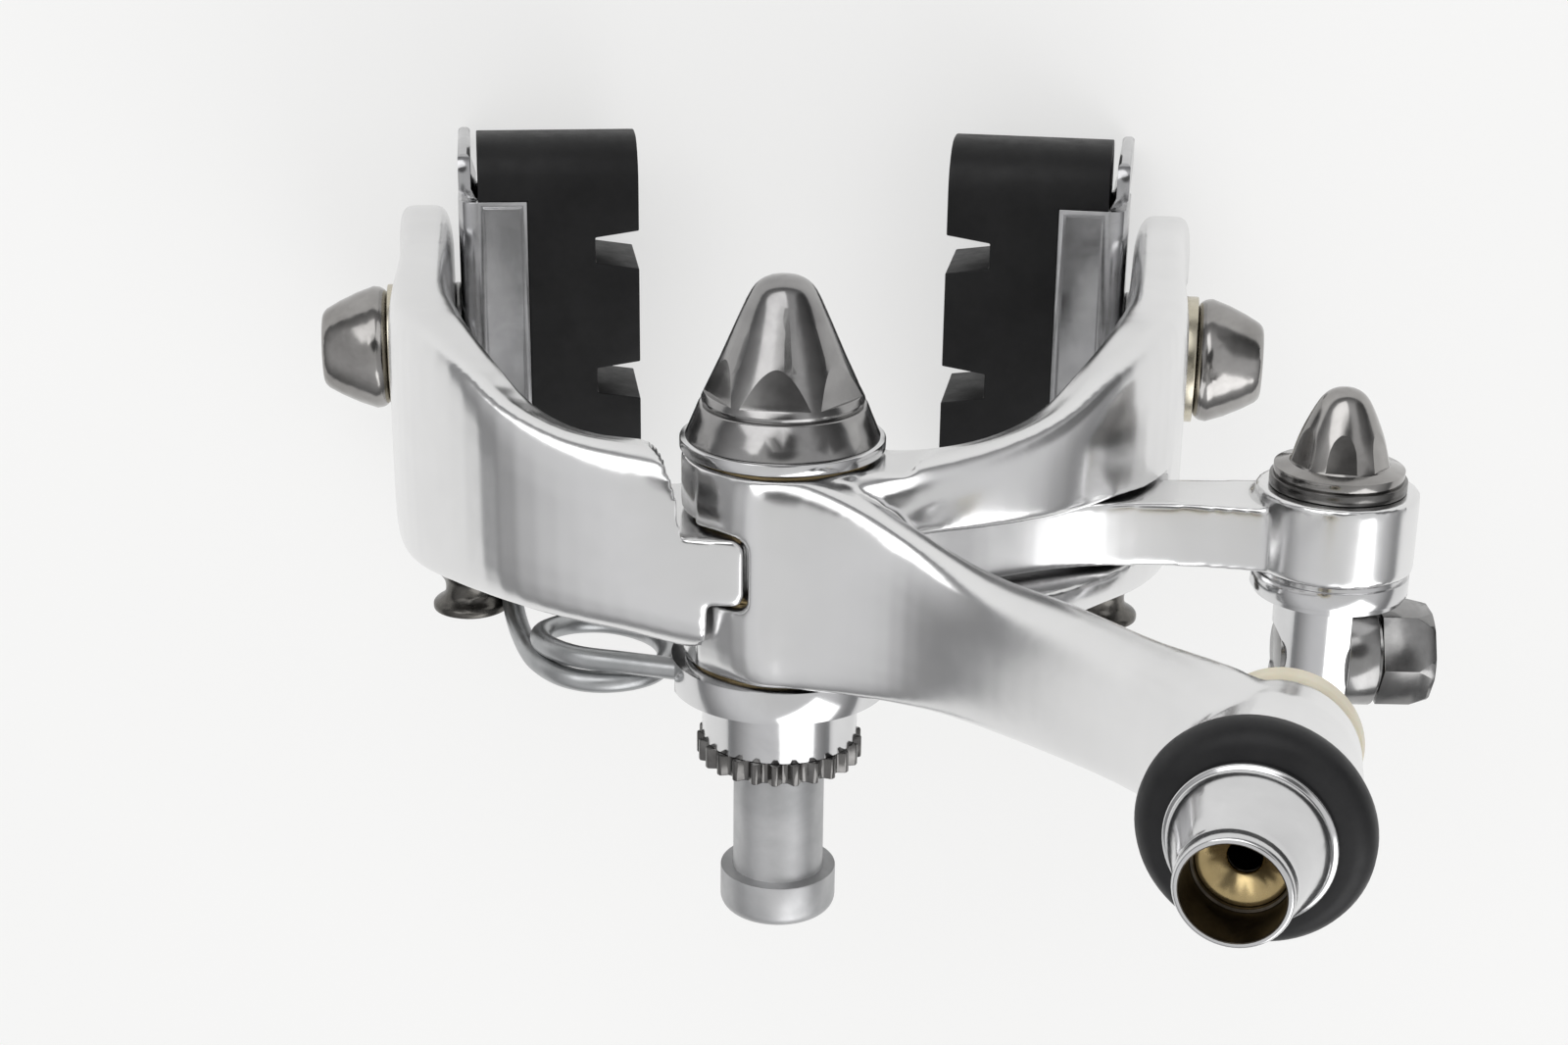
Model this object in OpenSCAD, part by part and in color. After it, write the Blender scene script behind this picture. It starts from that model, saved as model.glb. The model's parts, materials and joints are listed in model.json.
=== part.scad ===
// Rim brake caliper, single centre pivot, both arms in one plane.
// Frame: +Z up, the acorn nut faces -Y, origin on the pivot axis at the face
// that sits on the fork or brake bridge, +Y into the bridge. Units mm.
// Drawn at rest with the arms let open, as a caliper with no cable stands.

/* [Pivot] */
// centre bolt diameter
bolt_d = 6; // [5:0.5:8]
// radius of the ears and of the tongue around the pivot
ear_r = 8.3; // [7:0.1:10]
// recessed sleeve nut barrel diameter
sleeve_d = 7.8; // [7:0.1:10]
// sleeve nut barrel length behind the seating face
sleeve_len = 10.6; // [8:0.1:32]

/* [Arms] */
// distance of the shoe bolt below the pivot axis
reach = 45.5; // [39:0.5:57]
// thickness of the lower arm plates
plate_t = 5.3; // [4:0.1:8]
// lean of each lower arm plate with the caliper open
lean = 8.4; // [0:0.2:10]
// stroke of each arm from open to closed
stroke = 9; // [5:0.5:9]

/* [Brake shoes] */
// rubber block length
shoe_len = 43.2; // [40:0.2:56]
// rubber block height
shoe_h = 11.2; // [9:0.2:13]
// how far the rubber stands out of its holder
shoe_out = 10.9; // [6:0.1:12]
// wear groove width at the braking face
groove_w = 3.8; // [2:0.1:5]

/* [Cable end] */
// cable housing seat diameter
housing_d = 6.6; // [5:0.1:7]
// brake cable hole diameter
cable_d = 2.2; // [1.6:0.1:2.6]
// diameter of the grip ring on the barrel adjuster
grip_d = 15.6; // [12:0.2:18]
// anchor post diameter
post_d = 8.8; // [8:0.2:11]

/* [Return spring] */
// spring wire diameter
wire_d = 1.9; // [1.4:0.1:2.2]

/* [Hidden] */
$fn = 64;
br = bolt_d / 2 - 0.05;      // bolt shank
y0 = 20.82;                  // seating face to the middle of the ears
far_c = [0.86, 0.86, 0.85];
steel_c = [0.45, 0.45, 0.47];
chrome_c = [0.75, 0.75, 0.77];
dark_c = [0.2, 0.2, 0.22];
brass_c = [0.75, 0.6, 0.3];
rubber_c = [0.08, 0.08, 0.08];

// ---------- helpers ----------
// smooth curve through the points given
function crp(a, b, c, d, t) = 0.5 * (2*b + (c-a)*t + (2*a-5*b+4*c-d)*t*t + (3*b-a-3*c+d)*t*t*t);
function cr(p, n = 5) = [for (i = [0:len(p)-2], k = [0:n-1])
  crp(p[max(i-1,0)], p[i], p[i+1], p[min(i+2,len(p)-1)], k/n), p[len(p)-1]];
function rev(p) = [for (i = [len(p)-1:-1:0]) p[i]];
function flipx(p) = [for (q = p) [-q[0], q[1]]];
// a station s counts forward along the pivot axis from the middle of the ears
module st(s) translate([0, -(s + y0), 0]) rotate([90, 0, 0]) children();
// disc or ring about the pivot axis between two stations
module disc(s0, s1, r, r2 = 0) st(s0) cylinder(h = s1 - s0, r1 = r, r2 = r2 == 0 ? r : r2);
module ring(s0, s1, ro, ri) difference() { disc(s0, s1, ro); disc(s0 - 1, s1 + 1, ri); }
// front profile pushed between two stations
module slab(s0, s1) st(s0) linear_extrude(height = s1 - s0) children();
// plan outline [x, station] pushed from z0 to z1
module plan(p, z0, z1) translate([0, 0, z0]) linear_extrude(height = z1 - z0)
  polygon([for (q = p) [q[0], -(q[1] + y0)]]);

// ---------- arms: sections along a spine, joined by a smooth skin ----------
outer_x = 39.2;  // outer face at the shoe bolt
tipx = outer_x + (56 - reach) * tan(lean);
pc = plate_t / cos(lean);
// each section: top x, top z, low x, low z, front and rear station at the top,
// then how much narrower the low side is at the front and at the rear
lower_secs = [
  [2,8.6, 2,-8.2], [7,8.3, 6.6,-7.4], [12.4,7.4, 11,-5.4], [18,5.3, 16,-3.9], [23.2,2.3, 20.4,-4.7],
  [27.8,-2.1, 24,-7.3], [31.8,-7.4, 26.6,-11.2], [34.5,-13.6, 28.2,-15.4], [35.9,-20.4, 29.9,-21],
  [outer_x + (35 - reach) * tan(lean),-35, outer_x + (35 - reach) * tan(lean) - pc,-35.6],
  [outer_x + (47 - reach) * tan(lean),-47, outer_x + (47 - reach) * tan(lean) - pc,-47.6],
  [tipx,-53.2, tipx - pc,-53.8], [tipx + 0.1,-55.3, tipx - pc + 0.2,-55.8], [tipx - 0.2,-56.1, tipx - pc + 0.6,-56.5]];
// then how square the section is
far_fr = [[8.4,-10.4,4.0,2, 3.6], [8.7,-9.9,4.0,2, 3.8], [9.1,-8.7,3.6,2, 4], [9.5,-8.0,3.0,1.6, 4.4], [11.0,-7.5,2.4,1.2, 5],
  [13.4,-7.6,1.6,1, 5.6], [14.7,-8.1,1.0,0.8, 6], [15.0,-8.8,0.6,0.4, 6], [15.1,-9.3,0.2,0.2, 6],
  [15.2,-9.6,0,0, 6], [15.6,-9.9,0,0, 6], [15.1,-9.3,0,0, 6], [13.4,-7.4,0,0, 5], [10.4,-4.4,0,0, 4]];
cable_fr = [[6.4,-11.6,1.2,1, 3.6], [7.4,-11.2,2.4,1.6, 3.8], [8.5,-10.3,3.4,2, 4], [9.4,-9.4,3.0,2, 4.4], [10.9,-8.7,2.4,1.6, 5],
  [13.3,-8.5,1.6,1.2, 5.6], [14.7,-8.6,1.0,0.8, 6], [15.0,-9.0,0.6,0.4, 6], [15.1,-9.3,0.2,0.2, 6],
  [15.2,-9.6,0,0, 6], [15.6,-9.9,0,0, 6], [15.1,-9.3,0,0, 6], [13.4,-7.4,0,0, 5], [10.4,-4.4,0,0, 4]];
function join(a, b) = [for (i = [0:len(a)-1]) concat(a[i], b[i])];
// superellipse power: keeps the sign
function sp(x, e) = sign(x) * pow(abs(x), e);
module skin(S, d, m = 28) {
  n = len(S);
  pts = concat([for (q = S, k = [0:m-1]) let (ex = q[8], u = sp(cos((k + 0.5)*360/m), 2/ex), v = sp(sin((k + 0.5)*360/m), 2/ex),
      f = q[4] - q[6]*(1-v)/2, r = q[5] + q[7]*(1-v)/2)
      [d * ((q[0]+q[2])/2 + v*(q[0]-q[2])/2), -((f+r)/2 + u*(f-r)/2 + y0), (q[1]+q[3])/2 + v*(q[1]-q[3])/2]],
    [for (i = [0, n-1]) let (q = S[i]) [d * (q[0]+q[2])/2, -((q[4]+q[5]-(q[6]-q[7])/2)/2 + y0), (q[1]+q[3])/2]]);
  fc = concat([for (i = [0:n-2], k = [0:m-1]) each [[i*m+k, i*m+(k+1)%m, (i+1)*m+k], [i*m+(k+1)%m, (i+1)*m+(k+1)%m, (i+1)*m+k]]],
    [for (k = [0:m-1]) [n*m, (k+1)%m, k]], [for (k = [0:m-1]) [n*m+1, (n-1)*m+k, (n-1)*m+(k+1)%m]]);
  polyhedron(points = pts, faces = d < 0 ? [for (q = fc) [q[0], q[2], q[1]]] : fc);
}
// ---------- shoe frame: origin on the arm's outer face, d*x points outward ----------
module shoe(d) translate([d * outer_x, -(2.2 + y0), -reach]) rotate([0, -d * lean, 0]) children();
module cx(d, xa, xb, ra, rb = 0) translate([d * xa, 0, 0]) rotate([0, 90 * d, 0])
  cylinder(h = xb - xa, r1 = ra, r2 = rb == 0 ? ra : rb);
// box: x outward from xa to xb, station offset from sa to sb, height za to zb
module bx(d, xa, xb, sa, sb, za, zb)
  translate([min(d * xa, d * xb), -sb, za]) cube([xb - xa, sb - sa, zb - za]);
module stud_slot(d) shoe(d) {
  for (z = [-5.2, 5.2]) translate([0, 0, z]) cx(d, -12, 6, 3.15);
  bx(d, -12, 6, -3.15, 3.15, -5.2, 5.2);
  // flat seats for the washers over the whole height setting
  for (z = [-4.6, 4.6]) translate([0, 0, z]) cx(d, -0.02, 6, 6.9);
  bx(d, -0.02, 6, -6.9, 6.9, -4.6, 4.6);
  bx(d, -14, -plate_t + 0.02, -22, 22, -14, 15.5);
}

// ---------- pivot ----------
module centre_bolt() color(steel_c) {
  disc(-33, 16.2, br);
}
// six shallow spanner flats, apothem a at the base z, leaning in by t degrees
module flats(a, z, t, turn = 25) for (i = [0:5]) rotate([0, 0, i * 60 + turn])
  translate([a, -10, z]) rotate([0, -t, 0]) translate([0, 0, -0.5]) cube([6, 20, 20]);
module acorn_nut() color(dark_c) st(0) difference() {
  rotate_extrude() polygon(concat(
    [[bolt_d/2, 10.45], [6.6, 10.45], [6.7, 10.9], [6.5, 11.3]],
    [[5.15,14.2],[3.85,17.2]], cr([[3.05,19.0],[2.35,20.15],[1.35,20.8],[0.02,21.0]], 3),
    [[0, 21.0], [0, 16.4], [bolt_d/2, 16.4]]));
  flats(5.7, 11.8, 14);
}
module dust_cap() color(dark_c) difference() {
  disc(7.68, 10.43, 8.04, 6.9);
  disc(7, 11, bolt_d/2);
}
module front_washer() color(chrome_c) ring(6.7, 7.66, 8.45, bolt_d/2);
module shim_front() color(brass_c) ring(6.43, 6.67, 7.6, bolt_d/2 + 1.05);
module shim_mid_front() color(brass_c) ring(1.32, 1.58, 7.4, bolt_d/2 + 1.05);
module shim_mid_rear() color(brass_c) ring(-4.68, -4.42, 7.4, bolt_d/2 + 1.05);
module shim_rear() color(brass_c) ring(-11.46, -11.22, 7.6, bolt_d/2 + 1.05);
module pivot_sleeve() color(brass_c) ring(-11.46, 6.69, bolt_d/2 + 1, bolt_d/2);
module spring_carrier() color(chrome_c) difference() {
  union() { disc(-14.2, -11.48, 9.2); disc(-18.9, -14.2, 6.6); }
  disc(-20, -10, bolt_d/2);
  // slot that the spring wire lies in, open to the back
  slab(-14.3, -11.6) polygon([[-10,2.3],[-7.6,3.1],[-3,4.6],[0,5.5],[3,4.6],[7.6,3.1],[10,2.3],
    [10,-0.6],[7.6,0.3],[3.6,2.4],[0,3.32],[-3.6,2.4],[-7.6,0.3],[-10,-0.6]]);
}
module serrated_washer() color(dark_c) difference() {
  union() {
    slab(-20.82, -18.96) polygon([for (i = [0:99]) (i % 4 < 2 ? 7.05 : 6.45)
      * [cos(i * 3.6), sin(i * 3.6)]]);
  }
  disc(-21, -18, sleeve_d/2 + 0.15);
}
module sleeve_nut() color(far_c) difference() {
  union() {
    disc(-y0 - sleeve_len, -19.3, sleeve_d/2);
    st(-y0 - sleeve_len - 3.9) rotate_extrude() polygon(concat([[0,0],[3.9,0]],
      [for (a = [-80:10:0]) [3.9 + 1.1*cos(a), 1.1 + 1.1*sin(a)]], [[5.0, 3.9], [0, 3.9]]));
  }
  disc(-33.4, -19, bolt_d/2);
  st(-40) cylinder(h = 6.5, r = 5 / sqrt(3), $fn = 6);
}

// ---------- return spring ----------
// one half as [x, station, z]; the other half is its mirror image
half = [[0,-12.7,4.35],[3.2,-12.7,3.5],[7.6,-12.7,1.75],[13,-12.7,0.35],[17.4,-12.75,-1.0],
  [20.4,-12.9,-3.9],[20.9,-13.1,-7.2],[18.6,-13.4,-10.1],[15,-13.7,-10.9],[11.4,-14.1,-9.2],
  [9.9,-14.4,-5.6],[11.2,-14.7,-2.0],[14.6,-14.85,-0.5],[18.2,-14.8,-1.2],[21.2,-14.6,-4.4],
  [23.2,-14.3,-9.6],[24.6,-13.9,-15],[25.5,-13.6,-20.5]];
hs = cr(half, 3);
wp = concat([for (q = rev(hs)) [-q[0], q[1], q[2]]], [for (i = [1:len(hs)-1]) hs[i]]);
// bring the wire's stations into the row frame
wr = [for (q = wp) [q[0], -(q[1] + y0), q[2]]];
nw = len(wr);
function unit(v) = v / norm(v);
function tang(i) = unit(wr[min(i+1, nw-1)] - wr[max(i-1, 0)]);
// two directions square to the wire, kept from twisting by using the pivot axis
function e1(i) = unit(cross([0,1,0], tang(i)));
function e2(i) = cross(tang(i), e1(i));
ns = 12;
module return_spring() color(steel_c) polyhedron(
  points = concat([for (i = [0:nw-1], k = [0:ns-1])
    wr[i] + wire_d/2 * (cos(k*360/ns) * e1(i) + sin(k*360/ns) * e2(i))], [wr[0], wr[nw-1]]),
  faces = concat([for (i = [0:nw-2], k = [0:ns-1]) [i*ns+k, i*ns+(k+1)%ns, (i+1)*ns+(k+1)%ns, (i+1)*ns+k]],
    [for (k = [0:ns-1]) [nw*ns, (k+1)%ns, k]],
    [for (k = [0:ns-1]) [nw*ns+1, (nw-1)*ns+k, (nw-1)*ns+(k+1)%ns]]));

// ---------- arm that carries the cable anchor ----------
tongue_r = ear_r - 0.6;
// plan of what is cut away past the finger's end at x, its corners rounded by r
function finger(x, r) = concat([[-4, 14], [x + 3, 14], [x + 3, 1.3]],
  [for (a = [90:-18:0]) [x + r - r*sin(90 - a) + 0, 1.3 - r + r*sin(a)]],
  [for (a = [0:-18:-90]) [x + r - r*cos(a), -4.4 + r + r*sin(a)]],
  [[x + 3, -4.4], [x + 3, -14], [-4, -14]]);
anchor = [-46.6, -4.6];
module at_anchor(s) translate([anchor[0], -(s + y0), anchor[1]]) rotate([90, 0, 0]) children();
module anchor_arm() color(far_c) difference() {
  union() {
    difference() {
      skin(cr(join(lower_secs, far_fr), 3), 1);
      disc(1.3, 20, 11.3);
      disc(-14, -4.4, ear_r + 1.0);
      plan(finger(2.8, 1.0), -12, 12);
    }
    disc(-4.4, 1.3, tongue_r);
    slab(-4.4, 1.3) polygon(concat(cr([[0,tongue_r],[-3.4,6.9],[-6.6,6.2],[-11,5.0],[-17,1.6],[-22,-0.9],[-27,-2.4],[-34,-2.6],[-41.5,-1.4]]),
      cr([[-42.5,-10.0],[-36,-9.5],[-28,-9.7],[-20,-9.5],[-12,-8.9],[-4,-8.0],[0,-tongue_r]])));
    at_anchor(-4.4) cylinder(h = 6.9, r = 6.8);
  }
  disc(-10, 10, bolt_d/2 + 1.05);
  at_anchor(-10) cylinder(h = 20, r = 3);
  stud_slot(1);
  st(-20) translate([29, -18.6, 0]) cylinder(h = 18, r = 2);
}

// ---------- arm that carries the barrel adjuster ----------
// adjuster frame: origin at the lower end of its boss, +z out of the mouth
module adj() translate([-35.7, -(-4.2 + y0), 33]) rotate([0, 18.1, 0]) children();
upper_secs = [
  [-7,5.6, -3,-2, 7.2,-11.9, 0.3,0.3, 5], [-2.6,9.3, 1,1, 7.2,-11.9, 0.3,0.3, 5], [1.2,9.9, 4.4,4, 6.6,-11.8, 0.3,0.4, 4.4],
  [5.4,11.0, 8,6.8, 5.0,-11.7, 0.2,1, 3.8], [9.8,13.2, 11.8,8.6, 2.7,-11.7, -0.4,2, 3.4], [14.4,17.4, 17.4,11.4, 0.9,-11.6, 0,2.4, 3.1],
  [19.6,23.4, 23.2,16.6, 0.6,-11.2, 0,2.4, 3], [24.2,30.2, 28.6,23.2, 0.6,-10.4, 0,1.8, 2.9],
  [28.0,37.4, 34.6,31.0, 1.4,-9.8, 0,0.8, 2.7], [30.4,41.6, 37.6,36.6, 1.6,-9.8, 0.2,0.4, 2.6]];
// plan of the room for the finger, open towards +x, its inner corners rounded by r
function fork(x, r) = concat([[16, 1.6]], [for (a = [90:18:180]) [x + r + r*cos(a), 1.6 - r + r*sin(a)]],
  [for (a = [180:18:270]) [x + r + r*cos(a), -4.7 + r + r*sin(a)]], [[16, -4.7]]);
module adjuster_arm() color(far_c) difference() {
  union() {
    difference() {
      skin(cr(join(lower_secs, cable_fr), 3), -1);
      slab(-14, 20) polygon([[1,-12],[-1.9,-12],[-1.9,12],[1,12]]);
    }
    disc(1.6, 6.4, ear_r);
    disc(-11.2, -4.7, ear_r);
    skin(cr(upper_secs, 4), -1);
    adj() rotate_extrude() polygon([[0,0.6],[5.0,0.6],[5.5,1.2],[6.0,5],[6.2,10.95],[0,10.95]]);
  }
  // fork gap for the tongue and its lever, wide enough for the whole stroke
  disc(-4.7, 1.6, tongue_r + 0.35);
  plan(fork(2.45, 1.2), 0, 20);
  slab(-4.7, 1.6) polygon(concat([[9,3],[0,8.05],[-3.4,8.2]],
    [[-6.6,9.0],[-9.4,9.3],[-14,9.8],[-20,12.2],[-27,17.6],[-60,30],[-60,-14],
    [-42,-11.4],[-34,-10.6],[-28,-10.5],[-20,-10.2],[-12,-9.6],[0,-8.9],[9,-9]]));
  disc(-20, 10, bolt_d/2 + 1.05);
  adj() translate([0, 0, -5]) cylinder(h = 30, r = 3);
  adj() translate([0, 0, -6]) cylinder(h = 6.58, r = 5.75);
  stud_slot(-1);
  st(-20) translate([-29, -18.6, 0]) cylinder(h = 18, r = 2);
  // the ears' outer faces stay flat for the washers
  disc(6.4, 20, 12);
  disc(-20, -11.2, 12);
}

// ---------- spring pegs ----------
module peg(d) st(0) translate([d * 29, -18.6, 0]) rotate_extrude()
  polygon(concat([[0,-15.6],[2.6,-15.6],[3.5,-15.2],[3.5,-14.7]],
    cr([[3.3,-14.5],[2.5,-13.9],[2.3,-13.2],[2.5,-12.3],[3.4,-11.2],[3.9,-10.6]], 3),
    [[4.0,-9.4],[1.98,-9.4],[1.98,-3],[0,-3]]));
module spring_peg_far() color(dark_c) peg(1);
module spring_peg_cable() color(dark_c) peg(-1);

// ---------- cable anchor ----------
module anchor_post() color(chrome_c) difference() {
  union() {
    at_anchor(-5.2) cylinder(h = 11.8, r = 2.95);
    at_anchor(-6.9) cylinder(h = 2.47, r = 6.3);
    at_anchor(-6.4) cylinder(h = 1.6, r = 6.6);
    at_anchor(-16.9) cylinder(h = 10.1, r = post_d/2);
  }
  // flat that the cable is clamped against
  translate([anchor[0] - 21.35, -(-7.3 + y0), anchor[1] - 8]) cube([20, 12, 16]);
  translate([anchor[0] - 9, -(-12.4 + y0), anchor[1]]) rotate([0, 90, 0]) cylinder(h = 14, r = 2.5);
}
module anchor_washer() color(dark_c) difference() {
  at_anchor(2.53) cylinder(h = 0.95, r = 5.7);
  at_anchor(0) cylinder(h = 9, r = 3.05);
}
module anchor_nut() color(chrome_c) difference() {
  at_anchor(0) difference() {
    rotate_extrude() polygon(concat([[0,3.5],[5.4,3.5],[5.4,4.3],[4.15,4.6]],
      cr([[4.05,4.8],[3.35,7.2],[2.15,9.8],[1.2,10.8],[0.02,11.1]], 4), [[0,11.1]]));
    flats(3.75, 5.2, 14, 20);
  }
  at_anchor(1) cylinder(h = 5.8, r = 2.97);
}
module at_clamp(x) translate([anchor[0] - x, -(-12.4 + y0), anchor[1]]) rotate([0, -90, 0]) children();
module clamp_washer() color(steel_c) difference() {
  at_clamp(1.38) cylinder(h = 2.6, r = 4.65);
  at_clamp(-1) cylinder(h = 9, r = 2.55);
}
module clamp_bolt() color(steel_c) {
  difference() {
    intersection() {
      at_clamp(4.4) cylinder(h = 4.4, r = 8 / sqrt(3), $fn = 6);
      at_clamp(4.4) cylinder(h = 4.4, r1 = 5.5, r2 = 4.15);
    }
    at_clamp(8.2) cylinder(h = 3, r = 2.6);
  }
  at_clamp(4.0) cylinder(h = 0.5, r = 3.7);
  at_clamp(-4) cylinder(h = 8.5, r = 2.48);
}

// ---------- barrel adjuster ----------
mouth = 22.8; // height of the mouth
module adjuster_barrel() color(chrome_c) adj() {
  rotate_extrude() polygon([[cable_d/2,-0.9],[2.95,-0.9],[2.95,11.1],[5.4,11.1],[5.4,11.55],[3.6,11.55],
    [3.6,15.4],[5.6,15.4],[5.6,15.95],[5.25,16.1],[5.1,16.9],[4.0,mouth-2.2],[3.78,mouth-1.6],[3.82,mouth-0.3],[3.66,mouth],
    [housing_d/2,mouth],[housing_d/2,18.8],[3.08,18.8],[3.08,17.3],[cable_d/2,17.3]]);
}
module adjuster_seat() color(brass_c) adj() rotate_extrude() polygon(
  [[cable_d/2,17.35],[3.05,17.35],[3.05,18.5],[2.7,18.5],[cable_d/2,17.7]]);
module adjuster_grip() color(rubber_c) adj() rotate_extrude() polygon(concat([[3.65,11.6],[6.6,11.6]],
  [for (a = [-70:20:70]) [grip_d/2 - 1.5 + 1.5*cos(a), 13.5 + 1.8*sin(a)]], [[6.4,15.35],[3.65,15.35]]));
module adjuster_stop_ring() color([0.9,0.87,0.78]) adj() rotate_extrude()
  polygon([[3.02,-1.4],[5.2,-1.4],[5.45,-1.15],[5.45,0.25],[5.2,0.55],[3.02,0.55]]);

// ---------- brake shoes ----------
sh = shoe_h / 2;
hx = -5.9;                    // outer face of the holder
lip = hx - 6.7;               // end of the holder's flanges
face = lip - shoe_out;        // braking face
front = shoe_len / 2;         // front end of the rubber
module shoe_washer_out(d) color(brass_c) shoe(d) difference() {
  cx(d, 0.02, 1.5, 6.3); cx(d, -2, 4, 3.05);
}
module shoe_nut(d) color(chrome_c) shoe(d) difference() {
  union() {
    cx(d, 1.52, 2.1, 5.5, 6.05); cx(d, 2.1, 2.9, 6.05, 6.15); cx(d, 2.9, 4.6, 6.15, 5.55);
    cx(d, 4.6, 6.3, 5.55, 4.75); cx(d, 6.3, 7.6, 4.75, 4.0); cx(d, 7.6, 8.1, 4.0, 3.5);
  }
  cx(d, 0, 7.4, 3.0);
}
module shoe_washer_in(d) color(steel_c) shoe(d) difference() {
  cx(d, -plate_t - 0.55, -plate_t - 0.01, 6.4); cx(d, -12, 0, 3.05);
}
module shoe_stud(d) color(steel_c) shoe(d) { cx(d, hx - 1.31, 7.2, 2.92); cx(d, hx - 2.1, hx - 1.31, 4.2); }
// profile [x outward, z] run between two stations
module run(d, sa, sb, p) translate([0, -sa, 0]) rotate([90, 0, 0]) linear_extrude(height = sb - sa)
  polygon([for (q = p) [d * q[0], q[1]]]);
// outline [station, z] run outward between xa and xb
module side(d, xa, xb, p) translate([min(d * xa, d * xb), 0, 0]) rotate([90, 0, 90])
  linear_extrude(height = xb - xa) polygon([for (q = p) [-q[0], q[1]]]);
function arc(cx, cy, r, a, b) = [for (i = [0:6]) let (t = a + (b - a) * i / 6) [cx + r*cos(t), cy + r*sin(t)]];
hf = front - 5.85;             // front edge of the holder
module shoe_holder(d) color(chrome_c) shoe(d) difference() {
  run(d, -front, hf, concat([[lip,-sh]], arc(hx-1.9, -sh+1.9, 1.9, -90, 0), arc(hx-1.9, sh-1.9, 1.9, 0, 90), [[lip,sh]]));
  bx(d, lip - 5, hx - 1.3, -front + 1.3, front + 9, -sh + 1.3, sh - 1.3);
  cx(d, -20, 4, 2.95);
}
nose = hx - 1.95;             // outer face of the nose
module shoe_block(d) color(rubber_c) shoe(d) difference() {
  union() {
    bx(d, lip - 1, hx - 2.3, -front + 1.35, hf + 0.1, -sh + 1.35, sh - 1.35);
    bx(d, face, lip - 0.03, -front, hf + 0.05, -sh, sh);
    side(d, face, nose, concat([[hf + 0.05, -sh]], arc(front-4.6, -sh+4.6, 4.6, -90, 0), arc(front-4.6, sh-4.6, 4.6, 0, 90), [[hf + 0.05, sh]]));
  }
  for (g = [10.8, -2.5, -15.8]) translate([d * face, -g, -20]) linear_extrude(height = 40)
    polygon([[-d, -groove_w/2 - 0.15], [d * 4.3, -groove_w/3], [d * 4.3, groove_w/3], [-d, groove_w/2 + 0.15]]);
  // room for the stud's head
  cx(d, hx - 6, hx - 2, 4.9);
}
module wheel_guide(d) color(chrome_c) shoe(d) intersection() {
  translate([0, 0, -13]) linear_extrude(height = 13 + sh) polygon([for (q =
    [[hx-1.34,front-13],[hx-1.34,hf+0.15],[hx-0.1,hf+1.1],[hx-0.1,front-1.6],[hx-0.4,front-1.3],[hx-1.0,front-1.3],[hx-1.3,front-1.6],
     [hx-1.3,hf+1.3],[hx-1.86,hf+0.05],[hx-2.24,hf-0.4],[hx-2.24,front-13]]) [d * q[0], -q[1]]]);
  side(d, -30, 30, concat([[front-14,-sh+1.45],[hf+0.2,-sh+1.45],[hf+0.2,-9],[hf+1.4,-12.2],[front-2.6,-12.8],[front-1,-10.5]],
    arc(front-3.2, sh-2.6, 2.3, 0, 90), [[hf+0.4,sh-0.3],[hf+0.2,sh-1.45],[front-14,sh-1.45]]));
}

module shoe_washer_out_far() shoe_washer_out(1);
module shoe_nut_far() shoe_nut(1);
module shoe_washer_in_far() shoe_washer_in(1);
module shoe_stud_far() shoe_stud(1);
module shoe_holder_far() shoe_holder(1);
module shoe_block_far() shoe_block(1);
module wheel_guide_far() wheel_guide(1);
module shoe_washer_out_cable() shoe_washer_out(-1);
module shoe_nut_cable() shoe_nut(-1);
module shoe_washer_in_cable() shoe_washer_in(-1);
module shoe_stud_cable() shoe_stud(-1);
module shoe_holder_cable() shoe_holder(-1);
module shoe_block_cable() shoe_block(-1);
module wheel_guide_cable() wheel_guide(-1);

centre_bolt();
acorn_nut();
dust_cap();
front_washer();
shim_front();
shim_mid_front();
shim_mid_rear();
shim_rear();
pivot_sleeve();
spring_carrier();
return_spring();
serrated_washer();
sleeve_nut();
anchor_arm();
adjuster_arm();
spring_peg_far();
spring_peg_cable();
anchor_post();
anchor_washer();
anchor_nut();
clamp_washer();
clamp_bolt();
adjuster_barrel();
adjuster_seat();
adjuster_grip();
adjuster_stop_ring();
shoe_washer_out_far();
shoe_nut_far();
shoe_washer_in_far();
shoe_stud_far();
shoe_holder_far();
shoe_block_far();
wheel_guide_far();
shoe_washer_out_cable();
shoe_nut_cable();
shoe_washer_in_cable();
shoe_stud_cable();
shoe_holder_cable();
shoe_block_cable();
wheel_guide_cable();
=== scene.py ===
import bpy, bmesh, json, math
import numpy as np
from mathutils import Vector, Matrix, noise


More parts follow.
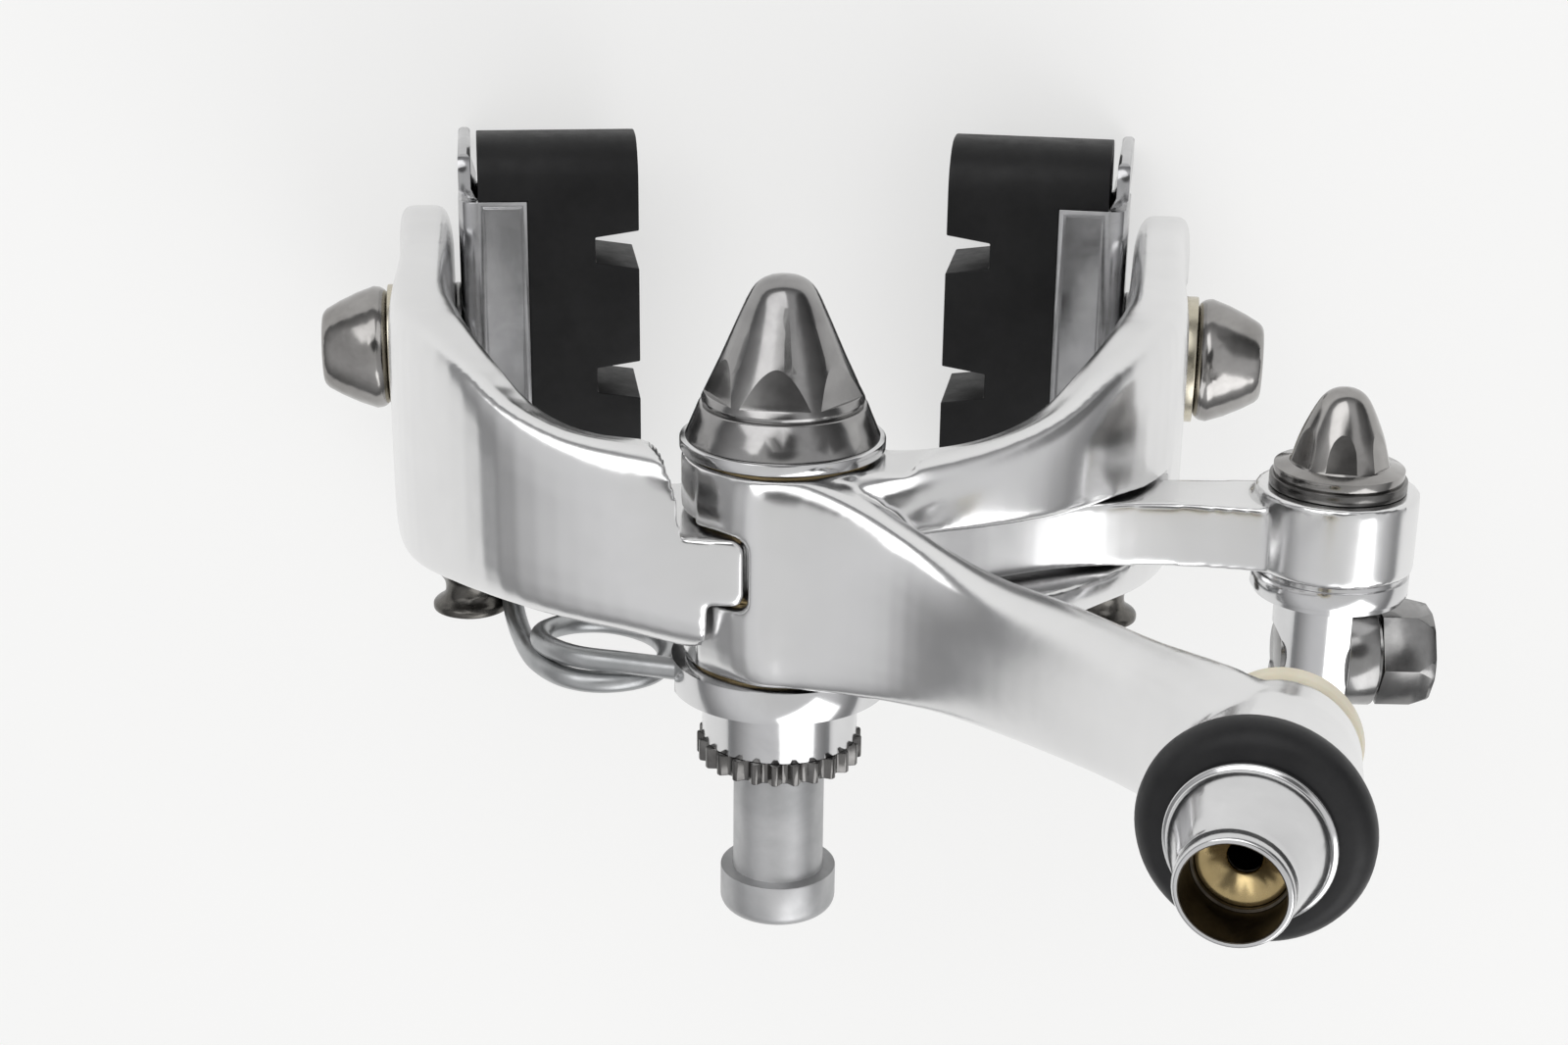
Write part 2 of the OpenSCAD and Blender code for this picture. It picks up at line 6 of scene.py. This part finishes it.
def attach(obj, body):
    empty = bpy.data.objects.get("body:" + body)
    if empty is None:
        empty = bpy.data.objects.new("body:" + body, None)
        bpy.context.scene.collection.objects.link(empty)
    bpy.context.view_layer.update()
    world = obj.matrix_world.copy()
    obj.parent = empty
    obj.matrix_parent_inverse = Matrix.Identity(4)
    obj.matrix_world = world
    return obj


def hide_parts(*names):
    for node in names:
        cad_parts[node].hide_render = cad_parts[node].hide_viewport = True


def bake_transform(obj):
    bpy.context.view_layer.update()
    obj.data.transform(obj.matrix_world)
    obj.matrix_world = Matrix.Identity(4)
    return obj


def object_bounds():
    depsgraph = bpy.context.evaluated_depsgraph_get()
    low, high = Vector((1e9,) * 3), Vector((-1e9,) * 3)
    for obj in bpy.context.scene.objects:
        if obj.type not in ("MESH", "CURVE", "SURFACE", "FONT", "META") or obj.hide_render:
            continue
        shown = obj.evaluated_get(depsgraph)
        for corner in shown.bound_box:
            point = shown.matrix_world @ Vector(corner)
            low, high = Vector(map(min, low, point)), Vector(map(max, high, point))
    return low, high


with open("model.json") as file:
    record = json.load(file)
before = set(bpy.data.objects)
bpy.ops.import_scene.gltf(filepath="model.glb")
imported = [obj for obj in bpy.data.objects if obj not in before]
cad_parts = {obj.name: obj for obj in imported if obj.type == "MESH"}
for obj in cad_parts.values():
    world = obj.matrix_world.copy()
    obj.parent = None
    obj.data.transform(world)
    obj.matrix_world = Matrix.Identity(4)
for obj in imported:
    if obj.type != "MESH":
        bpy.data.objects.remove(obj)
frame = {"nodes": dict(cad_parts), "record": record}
lo0, hi0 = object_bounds()
REC = frame["record"]
NODES = frame["nodes"]
BODY = {n: b for b, ns in REC["behaviour"]["bodies"].items() for n in ns}
SLOT = {s["node"]: s["material_slot"] for s in REC["subparts"]}
MM = 0.001
Y0 = 20.82
LEAN = math.radians(8.4)

# ------------------------------------------------------------------ materials
def new_mat(name):
    m = bpy.data.materials.new(name)
    m.use_nodes = True
    nt = m.node_tree
    b = nt.nodes["Principled BSDF"]
    return m, nt, b

def add(nt, kind, **kw):
    n = nt.nodes.new(kind)
    for k, v in kw.items():
        setattr(n, k, v)
    return n

def coords(nt, scale=(1, 1, 1)):
    tc = add(nt, "ShaderNodeTexCoord")
    mp = add(nt, "ShaderNodeMapping")
    mp.inputs["Scale"].default_value = scale
    nt.links.new(tc.outputs["Object"], mp.inputs["Vector"])
    return mp.outputs["Vector"]

def noise_tex(nt, vec, scale, detail=4, rough=0.55, dist=0.0):
    n = add(nt, "ShaderNodeTexNoise")
    n.inputs["Scale"].default_value = scale
    n.inputs["Detail"].default_value = detail
    n.inputs["Roughness"].default_value = rough
    n.inputs["Distortion"].default_value = dist
    nt.links.new(vec, n.inputs["Vector"])
    return n.outputs["Fac"]

def remap(nt, fac, a, b, lo=0.3, hi=0.7):
    r = add(nt, "ShaderNodeMapRange")
    r.inputs["From Min"].default_value = lo
    r.inputs["From Max"].default_value = hi
    r.inputs["To Min"].default_value = a
    r.inputs["To Max"].default_value = b
    nt.links.new(fac, r.inputs["Value"])
    return r.outputs["Result"]

def ramp(nt, fac, stops):
    r = add(nt, "ShaderNodeValToRGB")
    e = r.color_ramp.elements
    e[0].position, e[0].color = stops[0][0], (*stops[0][1], 1)
    e[1].position, e[1].color = stops[-1][0], (*stops[-1][1], 1)
    for p, c in stops[1:-1]:
        q = e.new(p)
        q.color = (*c, 1)
    nt.links.new(fac, r.inputs["Fac"])
    return r.outputs["Color"]

def bump(nt, h, strength, dist, normal=None):
    b = add(nt, "ShaderNodeBump")
    b.inputs["Strength"].default_value = strength
    b.inputs["Distance"].default_value = dist
    nt.links.new(h, b.inputs["Height"])
    if normal is not None:
        nt.links.new(normal, b.inputs["Normal"])
    return b.outputs["Normal"]

def metal(name, c0, c1, rough, var, grain=(1, 1, 1), grain_scale=900, grain_h=0.00001, strength=0.12, smudge=90, edge=0.0):
    """Metal with a fine directional finish, faint smudges and a little tarnish variation."""
    m, nt, b = new_mat(name)
    b.inputs["Metallic"].default_value = 1.0
    v = coords(nt)
    vg = coords(nt, grain)
    s = noise_tex(nt, v, smudge, 5, 0.6, 0.4)
    col = ramp(nt, s, [(0.3, c0), (0.55, tuple((a + d) / 2 for a, d in zip(c0, c1))), (0.75, c1)])
    nt.links.new(col, b.inputs["Base Color"])
    r1 = noise_tex(nt, v, smudge * 2.3, 6, 0.65)
    nt.links.new(remap(nt, r1, rough - var, rough + var), b.inputs["Roughness"])
    g = noise_tex(nt, vg, grain_scale, 3, 0.6)
    nt.links.new(bump(nt, g, strength, grain_h), b.inputs["Normal"])
    return m

def ringed(name, c0, c1, rough, var, axis="Y", pitch=0.00022, strength=0.25, depth=0.00001, smudge=140):
    """Turned metal: fine rings round one axis, with noise in them."""
    m, nt, b = new_mat(name)
    b.inputs["Metallic"].default_value = 1.0
    v = coords(nt)
    s = noise_tex(nt, v, smudge, 5, 0.6, 0.3)
    nt.links.new(ramp(nt, s, [(0.3, c0), (0.75, c1)]), b.inputs["Base Color"])
    sc = {"X": (1, 0.02, 0.02), "Y": (0.02, 1, 0.02), "Z": (0.02, 0.02, 1)}[axis]
    vg = coords(nt, sc)
    g = noise_tex(nt, vg, 1.0 / pitch, 2, 0.5)
    r1 = noise_tex(nt, v, smudge * 3, 5, 0.6)
    nt.links.new(remap(nt, r1, rough - var, rough + var), b.inputs["Roughness"])
    nt.links.new(bump(nt, g, strength, depth), b.inputs["Normal"])
    return m

def rubber(name, c0, c1, rough, grain=2600, h=0.00003, strength=0.35):
    m, nt, b = new_mat(name)
    v = coords(nt)
    s = noise_tex(nt, v, 220, 6, 0.62)
    nt.links.new(ramp(nt, s, [(0.3, c0), (0.78, c1)]), b.inputs["Base Color"])
    r1 = noise_tex(nt, v, 500, 5, 0.6)
    nt.links.new(remap(nt, r1, rough - 0.07, rough + 0.07), b.inputs["Roughness"])
    g = noise_tex(nt, v, grain, 4, 0.6)
    big = noise_tex(nt, v, 160, 3, 0.5)
    nt.links.new(bump(nt, g, strength, h, bump(nt, big, 0.15, 0.00008)), b.inputs["Normal"])
    b.inputs["Specular IOR Level"].default_value = 0.28
    return m

MAT = {
    "arm_polished": metal("arm_polished", (0.73, 0.729, 0.73), (0.81, 0.809, 0.81), 0.20, 0.04, (1, 1, 1), 700, 0.000010, 0.05, 60),
    "spring_steel": metal("spring_steel", (0.36, 0.37, 0.375), (0.52, 0.525, 0.53), 0.36, 0.07, (0.15, 1, 1), 1500, 0.00001, 0.2, 260),
    "dark_nut": ringed("dark_nut", (0.24, 0.236, 0.236), (0.40, 0.395, 0.39), 0.17, 0.04, "Y", 0.0003, 0.10, 0.000006),
    "bolt_steel": metal("bolt_steel", (0.20, 0.198, 0.196), (0.36, 0.357, 0.354), 0.20, 0.06, (1, 1, 1), 1400, 0.00001, 0.15, 180),
    "plated": metal("plated", (0.62, 0.62, 0.625), (0.74, 0.74, 0.745), 0.14, 0.035, (1, 1, 1), 1200, 0.000008, 0.08, 120),
    "serrated": metal("serrated", (0.10, 0.097, 0.094), (0.24, 0.235, 0.23), 0.22, 0.06, (1, 1, 1), 1200, 0.00001, 0.15, 300),
    "sleeve_alloy": ringed("sleeve_alloy", (0.40, 0.405, 0.41), (0.60, 0.60, 0.605), 0.48, 0.07, "Y", 0.00025, 0.22, 0.000012),
    "bearing_bronze": metal("bearing_bronze", (0.40, 0.30, 0.15), (0.55, 0.43, 0.23), 0.32, 0.06, (1, 1, 1), 1200, 0.00001, 0.15, 200),
    "peg_black": metal("peg_black", (0.06, 0.058, 0.055), (0.20, 0.19, 0.175), 0.27, 0.08, (1, 1, 1), 1100, 0.00001, 0.2, 340),
    "brass": ringed("brass", (0.42, 0.31, 0.14), (0.66, 0.52, 0.28), 0.27, 0.06, "Z", 0.0003, 0.2, 0.00001),
    "washer_brass": metal("washer_brass", (0.50, 0.46, 0.36), (0.68, 0.64, 0.53), 0.28, 0.06, (1, 1, 1), 1200, 0.00001, 0.15, 240),
    "holder_plated": metal("holder_plated", (0.38, 0.38, 0.388), (0.56, 0.56, 0.568), 0.17, 0.06, (1, 0.2, 1), 1100, 0.00001, 0.12, 150),
    "grip_rubber": rubber("grip_rubber", (0.011, 0.011, 0.012), (0.024, 0.024, 0.025), 0.46),
    "shoe_rubber": rubber("shoe_rubber", (0.006, 0.006, 0.0065), (0.014, 0.014, 0.0145), 0.50),
}
def nylon():
    m, nt, b = new_mat("nylon")
    v = coords(nt)
    s = noise_tex(nt, v, 200, 4, 0.6)
    nt.links.new(ramp(nt, s, [(0.3, (0.74, 0.68, 0.52)), (0.75, (0.84, 0.79, 0.65))]), b.inputs["Base Color"])
    nt.links.new(remap(nt, noise_tex(nt, v, 600, 4), 0.32, 0.45), b.inputs["Roughness"])
    nt.links.new(bump(nt, noise_tex(nt, v, 1800, 3), 0.15, 0.00001), b.inputs["Normal"])
    b.inputs["Subsurface Weight"].default_value = 0.15
    b.inputs["Subsurface Scale"].default_value = 0.001
    return m
MAT["nylon"] = nylon()
# a dark material for the inside of the adjuster barrel's bore: painted shade in the hole
BORE_PAINTED_SHADE = metal("bore_painted_shade", (0.035, 0.03, 0.024), (0.14, 0.12, 0.095), 0.34, 0.08, (1, 1, 1), 1400, 0.00001, 0.2, 420)
NUT = ringed("nut_plated", (0.24, 0.232, 0.224), (0.44, 0.43, 0.42), 0.16, 0.05, "X", 0.0003, 0.10, 0.000006)

# ------------------------------------------------------------------ mesh tools
def obj_from_bm(name, bm, mat, body, nodes=()):
    me = bpy.data.meshes.new(name)
    bm.to_mesh(me)
    bm.free()
    return finish_obj(name, me, mat, body, nodes)

def finish_obj(name, me, mat, body, nodes=()):
    ob = bpy.data.objects.new(name, me)
    bpy.context.scene.collection.objects.link(ob)
    me.materials.clear()
    me.materials.append(mat)
    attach(ob, body)
    if nodes:
        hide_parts(*nodes)
    return ob

def node_bm(node):
    o = NODES[node]
    bm = bmesh.new()
    bm.from_mesh(o.data)
    bmesh.ops.remove_doubles(bm, verts=bm.verts, dist=2e-6)
    return bm

def sharp(me, deg):
    """Smooth shading with sharp edges above an angle."""
    bm = bmesh.new(); bm.from_mesh(me)
    lim = math.radians(deg)
    for f in bm.faces:
        f.smooth = True
    for e in bm.edges:
        if len(e.link_faces) == 2:
            e.smooth = e.calc_face_angle(0) < lim
    bm.to_mesh(me); bm.free()

def bevelled(node, width=0.15, seg=2, ang=28, name=None, slot=None):
    """The node's shape with its coplanar faces joined and its sharp edges rounded."""
    bm = node_bm(node)
    bmesh.ops.dissolve_limit(bm, angle_limit=math.radians(1.2), verts=bm.verts, edges=bm.edges, delimit=set())
    if node.startswith("shoe_holder"):
        # the flat panel pressed into each flange
        d = 1 if node.endswith("far") else -1
        zl = Vector((-d * math.sin(LEAN), 0, math.cos(LEAN)))
        fl = [f for f in bm.faces if abs(f.normal.dot(zl)) > 0.999 and f.calc_area() > 60e-6]
        top = max(f.calc_center_median().dot(zl) for f in fl); bot = min(f.calc_center_median().dot(zl) for f in fl)
        fl = [f for f in fl if abs(f.calc_center_median().dot(zl) - top) < 1e-5 or abs(f.calc_center_median().dot(zl) - bot) < 1e-5]
        bmesh.ops.inset_individual(bm, faces=fl, thickness=0.0007, depth=0.0)
        bmesh.ops.inset_individual(bm, faces=fl, thickness=0.00022, depth=-0.00013)
    es = [e for e in bm.edges if len(e.link_faces) == 2 and e.calc_face_angle(0) > math.radians(ang)]
    if node in ("acorn_nut", "anchor_nut"):
        # the spanner flats keep a crisp, slightly worn outline
        flat = {f for f in bm.faces if len(f.verts) > 7 and abs(f.normal.y) < 0.9 and f.calc_area() > 1.5e-6}
        es = list(set(es) | {e for f in flat for e in f.edges if len(e.link_faces) == 2 and e.calc_face_angle(0) > math.radians(3)})
        width = 0.1
    if width > 0 and es:
        bmesh.ops.bevel(bm, geom=es, offset=width * MM, offset_type="OFFSET", segments=seg, profile=0.5, affect="EDGES", clamp_overlap=True)
    bmesh.ops.triangulate(bm, faces=[f for f in bm.faces if len(f.verts) > 4])
    sl = slot or SLOT[node]
    ob = obj_from_bm(name or node + "_body", bm, NUT if node.startswith("shoe_nut") or node == "anchor_nut" else MAT[sl], BODY[node], (node,))
    sharp(ob.data, 32)
    if node == "adjuster_barrel":
        # the bore's faces that look towards the axis get a dark material: painted shade inside the hole
        ob.data.materials.append(BORE_PAINTED_SHADE)
        ax = Vector((math.sin(math.radians(18.1)), 0, math.cos(math.radians(18.1))))
        mid = Vector((-0.0357, -0.01662, 0.033))
        for p in ob.data.polygons:
            r = p.center - mid; r -= ax * r.dot(ax)
            if r.length < 0.0034 and p.normal.dot(r) < 0.0004 * r.length: p.material_index = 1
    return ob

def remeshed(node, voxel, iters, factor=0.5, name=None, beam=None):
    """The node's shape with its edges worn round: voxel remesh, then smoothing."""
    bm = node_bm(node)
    me = bpy.data.meshes.new(node + "_tmp")
    bm.to_mesh(me); bm.free()
    ob = bpy.data.objects.new(node + "_tmp", me)
    bpy.context.scene.collection.objects.link(ob)
    r = ob.modifiers.new("r", "REMESH")
    r.mode = "VOXEL"; r.voxel_size = voxel * MM; r.use_smooth_shade = True
    s = ob.modifiers.new("s", "SMOOTH")
    s.factor = factor; s.iterations = iters
    dg = bpy.context.evaluated_depsgraph_get()
    res = bpy.data.meshes.new_from_object(ob.evaluated_get(dg))
    bpy.data.objects.remove(ob)
    if beam:
        # the polished beam between the ear and the boss is smoothed further
        co = np.empty(len(res.vertices) * 3); res.vertices.foreach_get("co", co); co = co.reshape(-1, 3)
        ed = np.empty(len(res.edges) * 2, int); res.edges.foreach_get("vertices", ed); ed = ed.reshape(-1, 2)
        d = np.abs(co[:, 0]) / MM
        w = np.clip((d - beam[0]) / (beam[1] - beam[0]), 0, 1) * np.clip((beam[3] - d) / (beam[3] - beam[2]), 0, 1)
        w = (w * w * (3 - 2 * w) * 0.5)[:, None]
        deg = np.bincount(ed.ravel(), minlength=len(co))[:, None]
        for i in range(90):
            f = w if i % 2 == 0 else -w * 1.02
            acc = np.zeros_like(co)
            for k in range(3):
                acc[:, k] = np.bincount(ed[:, 0], co[ed[:, 1], k], len(co)) + np.bincount(ed[:, 1], co[ed[:, 0], k], len(co))
            if i < 40: f = w
            co += f * (acc / deg - co)
        res.vertices.foreach_set("co", co.ravel())
        res.update()
    for p in res.polygons:
        p.use_smooth = True
    return finish_obj(name or node + "_body", res, MAT[SLOT[node]], BODY[node], (node,))

# ------------------------------------------------------------------ pieces
remeshed("anchor_arm", 0.24, 16)
remeshed("adjuster_arm", 0.24, 11, beam=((10, 14, 27, 31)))

for n in NODES:
    if n in ("anchor_arm", "adjuster_arm", "return_spring"):
        continue
    w = 0.12
    if n.startswith("shoe_block"): w = 0.45
    elif n.startswith("shoe_holder"): w = 0.3
    elif n.startswith("shoe_nut"): w = 0.35
    elif n.startswith("shim"): w = 0.04
    elif n == "adjuster_grip": w = 0.2
    bevelled(n, w, 3 if w > 0.25 else 2)

# the return spring: drawn wire, one half on each arm
def tube(name, pts, r, mat, n=20):
    P = [Vector(p) * MM for p in pts]
    bm = bmesh.new()
    rings = []
    up = Vector((0, 1, 0))
    for i, p in enumerate(P):
        t = (P[min(i + 1, len(P) - 1)] - P[max(i - 1, 0)]).normalized()
        a = up.cross(t)
        a.normalize()
        b = t.cross(a)
        rings.append([bm.verts.new(p + r * MM * (math.cos(k * 2 * math.pi / n) * a + math.sin(k * 2 * math.pi / n) * b)) for k in range(n)])
    for i in range(len(rings) - 1):
        for k in range(n):
            bm.faces.new((rings[i][k], rings[i][(k + 1) % n], rings[i + 1][(k + 1) % n], rings[i + 1][k]))
    for ring, q, s in ((rings[0], P[0], -1), (rings[-1], P[-1], 1)):
        c = bm.verts.new(q)
        for k in range(n):
            bm.faces.new((ring[k], ring[(k + 1) % n], c) if s > 0 else (ring[(k + 1) % n], ring[k], c))
    bmesh.ops.recalc_face_normals(bm, faces=bm.faces)
    me = bpy.data.meshes.new(name)
    bm.to_mesh(me); bm.free()
    return me

def cr(p, n):
    out = []
    for i in range(len(p) - 1):
        a, b, c, d = (np.array(p[max(i - 1, 0)], float), np.array(p[i], float), np.array(p[i + 1], float), np.array(p[min(i + 2, len(p) - 1)], float))
        for k in range(n):
            t = k / n
            out.append(0.5 * (2 * b + (c - a) * t + (2 * a - 5 * b + 4 * c - d) * t * t + (3 * b - a - 3 * c + d) * t ** 3))
    out.append(np.array(p[-1], float))
    return out

HALF = [[0,-12.7,4.35],[3.2,-12.7,3.5],[7.6,-12.7,1.75],[13,-12.7,0.35],[17.4,-12.75,-1.0],
  [20.4,-12.9,-3.9],[20.9,-13.1,-7.2],[18.6,-13.4,-10.1],[15,-13.7,-10.9],[11.4,-14.1,-9.2],
  [9.9,-14.4,-5.6],[11.2,-14.7,-2.0],[14.6,-14.85,-0.5],[18.2,-14.8,-1.2],[21.2,-14.6,-4.4],
  [23.2,-14.3,-9.6],[24.6,-13.9,-15],[25.5,-13.6,-20.5]]
for side, nm, arm in ((1, "return_spring_far", "anchor_side"), (-1, "return_spring_cable", "adjuster_side")):
    pts = [(side * q[0], -(q[1] + Y0), q[2]) for q in cr(HALF, 8)]
    me = tube(nm, pts, 0.95, MAT["spring_steel"])
    me.materials.append(MAT["spring_steel"])
    ob = bpy.data.objects.new(nm, me)
    bpy.context.scene.collection.objects.link(ob)
    for p in me.polygons:
        p.use_smooth = True
    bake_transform(ob)
    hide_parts("return_spring")

# ------------------------------------------------------------------ stage, light, camera
def plane(name, size, loc, rot=(0, 0, 0)):
    bm = bmesh.new()
    bmesh.ops.create_grid(bm, x_segments=1, y_segments=1, size=size / 2)
    me = bpy.data.meshes.new(name)
    bm.to_mesh(me); bm.free()
    ob = bpy.data.objects.new(name, me)
    bpy.context.scene.collection.objects.link(ob)
    ob.location = loc
    ob.rotation_euler = rot
    return ob

fm, fnt, fb = new_mat("floor_paper")
fv = coords(fnt)
fnt.links.new(ramp(fnt, noise_tex(fnt, fv, 8, 3), [(0.3, (0.38, 0.379, 0.375)), (0.7, (0.395, 0.394, 0.39))]), fb.inputs["Base Color"])
fb.inputs["Roughness"].default_value = 0.75
fb.inputs["Emission Color"].default_value = (1.0, 1.0, 0.993, 1)
fb.inputs["Emission Strength"].default_value = 0.56
floor = plane("floor", 4.0, (0, 0, lo0[2] - 0.0004))
floor.data.materials.append(fm)

world = bpy.data.worlds.new("studio")
bpy.context.scene.world = world
world.use_nodes = True
wn = world.node_tree
bg = wn.nodes["Background"]
# a white tent: bright overhead, greyer low down, and a dim patch where the photographer stands
wt = wn.nodes.new("ShaderNodeTexCoord")
sep = wn.nodes.new("ShaderNodeSeparateXYZ")
wn.links.new(wt.outputs["Generated"], sep.inputs["Vector"])
hr = wn.nodes.new("ShaderNodeValToRGB")
he = hr.color_ramp.elements
he[0].position, he[0].color = 0.0, (0.36, 0.365, 0.375, 1)
he[1].position, he[1].color = 1.0, (1.0, 1.0, 0.995, 1)
for p, c in ((0.12, 0.34), (0.30, 0.58), (0.52, 0.92), (0.75, 1.05)):
    q = he.new(p); q.color = (c, c, c * 1.01, 1)
wn.links.new(sep.outputs["Z"], hr.inputs["Fac"])
def patch(direction, lo, hi, depth):
    d = wn.nodes.new("ShaderNodeVectorMath"); d.operation = "DOT_PRODUCT"
    wn.links.new(wt.outputs["Generated"], d.inputs[0])
    d.inputs[1].default_value = direction
    m = wn.nodes.new("ShaderNodeMapRange"); m.interpolation_type = "SMOOTHSTEP"
    m.inputs["From Min"].default_value = lo; m.inputs["From Max"].default_value = hi
    m.inputs["To Min"].default_value = 1.0; m.inputs["To Max"].default_value = depth
    wn.links.new(d.outputs["Value"], m.inputs["Value"])
    return m.outputs["Result"]
out = hr.outputs["Color"]
for direction, lo, hi, depth in (((0.0, -0.40, 0.917), 0.930, 0.975, 0.16), ((-0.80, -0.50, 0.33), 0.90, 0.97, 0.35), ((0.75, 0.35, 0.40), 0.93, 0.98, 0.45)):
    mul = wn.nodes.new("ShaderNodeVectorMath"); mul.operation = "SCALE"
    wn.links.new(out, mul.inputs[0])
    wn.links.new(patch(direction, lo, hi, depth), mul.inputs["Scale"])
    out = mul.outputs["Vector"]
wn.links.new(out, bg.inputs["Color"])
bg.inputs["Strength"].default_value = 0.72

def area(name, loc, target, size, power, col=(1, 1, 1)):
    l = bpy.data.lights.new(name, "AREA")
    l.shape = "RECTANGLE"; l.size, l.size_y = size
    l.energy = power; l.color = col
    o = bpy.data.objects.new(name, l)
    bpy.context.scene.collection.objects.link(o)
    o.location = loc
    o.rotation_euler = (Vector(target) - Vector(loc)).to_track_quat("-Z", "Y").to_euler()
    return o
area("key", (0.20, -0.46, 0.40), (0, -0.02, 0), (0.60, 0.45), 1.2)
area("fill", (-0.30, 0.40, 0.42), (0, -0.02, 0), (0.60, 0.45), 1.5)

F, PHI, D0, YAW, ROLL = 2350.0, math.radians(19.43), 0.1908, math.radians(0.975), math.radians(0.66)
cam = bpy.data.cameras.new("camera")
cam.sensor_fit = "HORIZONTAL"; cam.sensor_width = 36.0
cam.lens = F / 1600 * 36.0
cam.clip_start = 0.005; cam.clip_end = 20
co = bpy.data.objects.new("camera", cam)
bpy.context.scene.collection.objects.link(co)
right = Vector((-math.cos(YAW), 0, -math.sin(YAW)))
up = Vector((math.sin(PHI) * math.sin(YAW), -math.cos(PHI), -math.sin(PHI) * math.cos(YAW)))
back = Vector((-math.cos(PHI) * math.sin(YAW), -math.sin(PHI), math.cos(PHI) * math.cos(YAW)))
pos = Vector((0, -Y0 * MM, 0)) + D0 * back
right, up = right * math.cos(ROLL) + up * math.sin(ROLL), up * math.cos(ROLL) - right * math.sin(ROLL)
cam.shift_x = 0.00144
co.matrix_world = Matrix(((right.x, up.x, back.x, pos.x), (right.y, up.y, back.y, pos.y), (right.z, up.z, back.z, pos.z), (0, 0, 0, 1)))
bpy.context.scene.camera = co
bpy.context.scene.view_settings.view_transform = "Standard"
